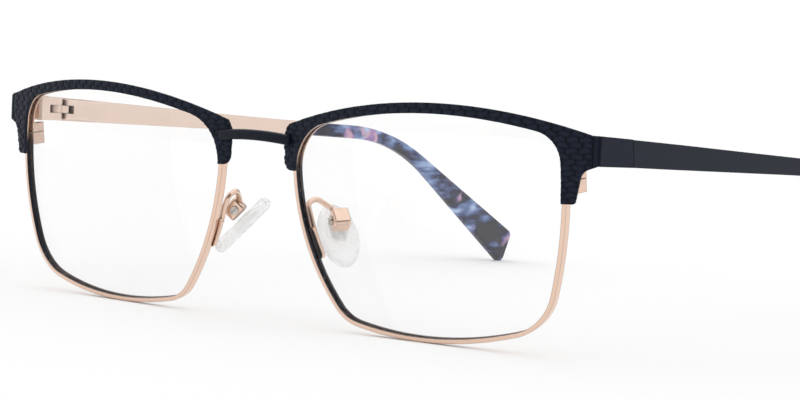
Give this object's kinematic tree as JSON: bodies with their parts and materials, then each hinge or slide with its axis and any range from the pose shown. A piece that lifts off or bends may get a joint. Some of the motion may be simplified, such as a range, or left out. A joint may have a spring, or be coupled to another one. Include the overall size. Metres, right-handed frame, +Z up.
{
  "type": "half rim eyeglasses",
  "caption": "Browline spectacles: navy embossed brow bars over slim metal rims, wire nose pads, sprung folding temples with acetate tips.",
  "frame": {"origin": "on the surface they stand on, under the middle of their width and length", "axes": "+Z up, -Y the way the wearer looks, +X the wearer's left; they stand open on the rims and the temple tips"},
  "size_m": [0.1336, 0.1638, 0.0392],
  "materials": {
    "navy_brow": "satin lacquer over metal, embossed",
    "slate_navy": "satin navy lacquer outside, pale rose gold inside",
    "rose_gold": "satin pale rose gold plating",
    "rose_gold_rim": "polished pale rose gold plating",
    "steel_screw": "turned",
    "spring_steel": "drawn wire",
    "nylon": "natural",
    "acetate": "polished mottled navy and charcoal acetate",
    "silicone": "clear soft silicone",
    "pad_insert": "clear moulded core",
    "clear_lens": "clear, polished"
  },
  "bodies": {
    "front": {"bridge": "navy_brow", "rim_left": "rose_gold_rim", "lens_left": "clear_lens", "brow_bar_left": "navy_brow", "end_piece_left": "slate_navy", "rim_lock_upper_left": "rose_gold_rim", "rim_lock_lower_left": "rose_gold_rim", "rim_lock_screw_left": "steel_screw", "hinge_leaf_left": "rose_gold", "hinge_screw_left": "steel_screw", "pad_clip_left": "rose_gold", "pad_screw_left": "steel_screw", "pad_arm_left": "rose_gold", "rim_right": "rose_gold_rim", "lens_right": "clear_lens", "brow_bar_right": "navy_brow", "end_piece_right": "slate_navy", "rim_lock_upper_right": "rose_gold_rim", "rim_lock_lower_right": "rose_gold_rim", "rim_lock_screw_right": "steel_screw", "hinge_leaf_right": "rose_gold", "hinge_screw_right": "steel_screw", "pad_clip_right": "rose_gold", "pad_screw_right": "steel_screw", "pad_arm_right": "rose_gold"},
    "hinge_bush_left": {"hinge_bush_left": "nylon"},
    "slider_left": {"hinge_slider_left": "rose_gold", "spring_rod_left": "steel_screw"},
    "temple_left": {"temple_bar_left": "slate_navy", "temple_tip_left": "acetate", "spring_box_left": "rose_gold", "hinge_spring_left": "spring_steel"},
    "pad_left": {"nose_pad_left": "silicone", "pad_core_left": "pad_insert"},
    "hinge_bush_right": {"hinge_bush_right": "nylon"},
    "slider_right": {"hinge_slider_right": "rose_gold", "spring_rod_right": "steel_screw"},
    "temple_right": {"temple_bar_right": "slate_navy", "temple_tip_right": "acetate", "spring_box_right": "rose_gold", "hinge_spring_right": "spring_steel"},
    "pad_right": {"nose_pad_right": "silicone", "pad_core_right": "pad_insert"}
  },
  "joints": [
    {"name": "temple_fold_left", "type": "hinge", "parent": "front", "child": "hinge_bush_left", "pos_m": [0.0641, -0.0658, 0.03296], "axis": [0, 0, 1], "range_deg": [0, 90]},
    {"name": "temple_flex_left", "type": "hinge", "parent": "hinge_bush_left", "child": "slider_left", "pos_m": [0.0641, -0.0658, 0.03296], "axis": [0, 0, 1], "range_deg": [-10, 0], "stiffness_Nm_per_rad": 0.3},
    {"name": "spring_slide_left", "type": "slide", "parent": "slider_left", "child": "temple_left", "axis": [-0.0113, 0.9991, -0.0401], "range_m": [0, 0.00053], "deforming": ["hinge_spring_left"]},
    {"name": "pad_rock_left", "type": "hinge", "parent": "front", "child": "pad_left", "pos_m": [0.01196, -0.0714, 0.01811], "axis": [0.5504, 0.8298, 0.0925], "range_deg": [-8, 8]},
    {"name": "temple_fold_right", "type": "hinge", "parent": "front", "child": "hinge_bush_right", "pos_m": [-0.0641, -0.0658, 0.03296], "axis": [0, 0, -1], "range_deg": [0, 86]},
    {"name": "temple_flex_right", "type": "hinge", "parent": "hinge_bush_right", "child": "slider_right", "pos_m": [-0.0641, -0.0658, 0.03296], "axis": [0, 0, -1], "range_deg": [-10, 0], "stiffness_Nm_per_rad": 0.3},
    {"name": "spring_slide_right", "type": "slide", "parent": "slider_right", "child": "temple_right", "axis": [0.0113, 0.9991, -0.0401], "range_m": [0, 0.00053], "deforming": ["hinge_spring_right"]},
    {"name": "pad_rock_right", "type": "hinge", "parent": "front", "child": "pad_right", "pos_m": [-0.01196, -0.0714, 0.01811], "axis": [0.5504, -0.8298, -0.0925], "range_deg": [-8, 8]}
  ],
  "couplings": [
    {"joint": "spring_slide_left", "follows": "temple_flex_left", "m_per_rad": -0.003},
    {"joint": "spring_slide_right", "follows": "temple_flex_right", "m_per_rad": -0.003}
  ]
}
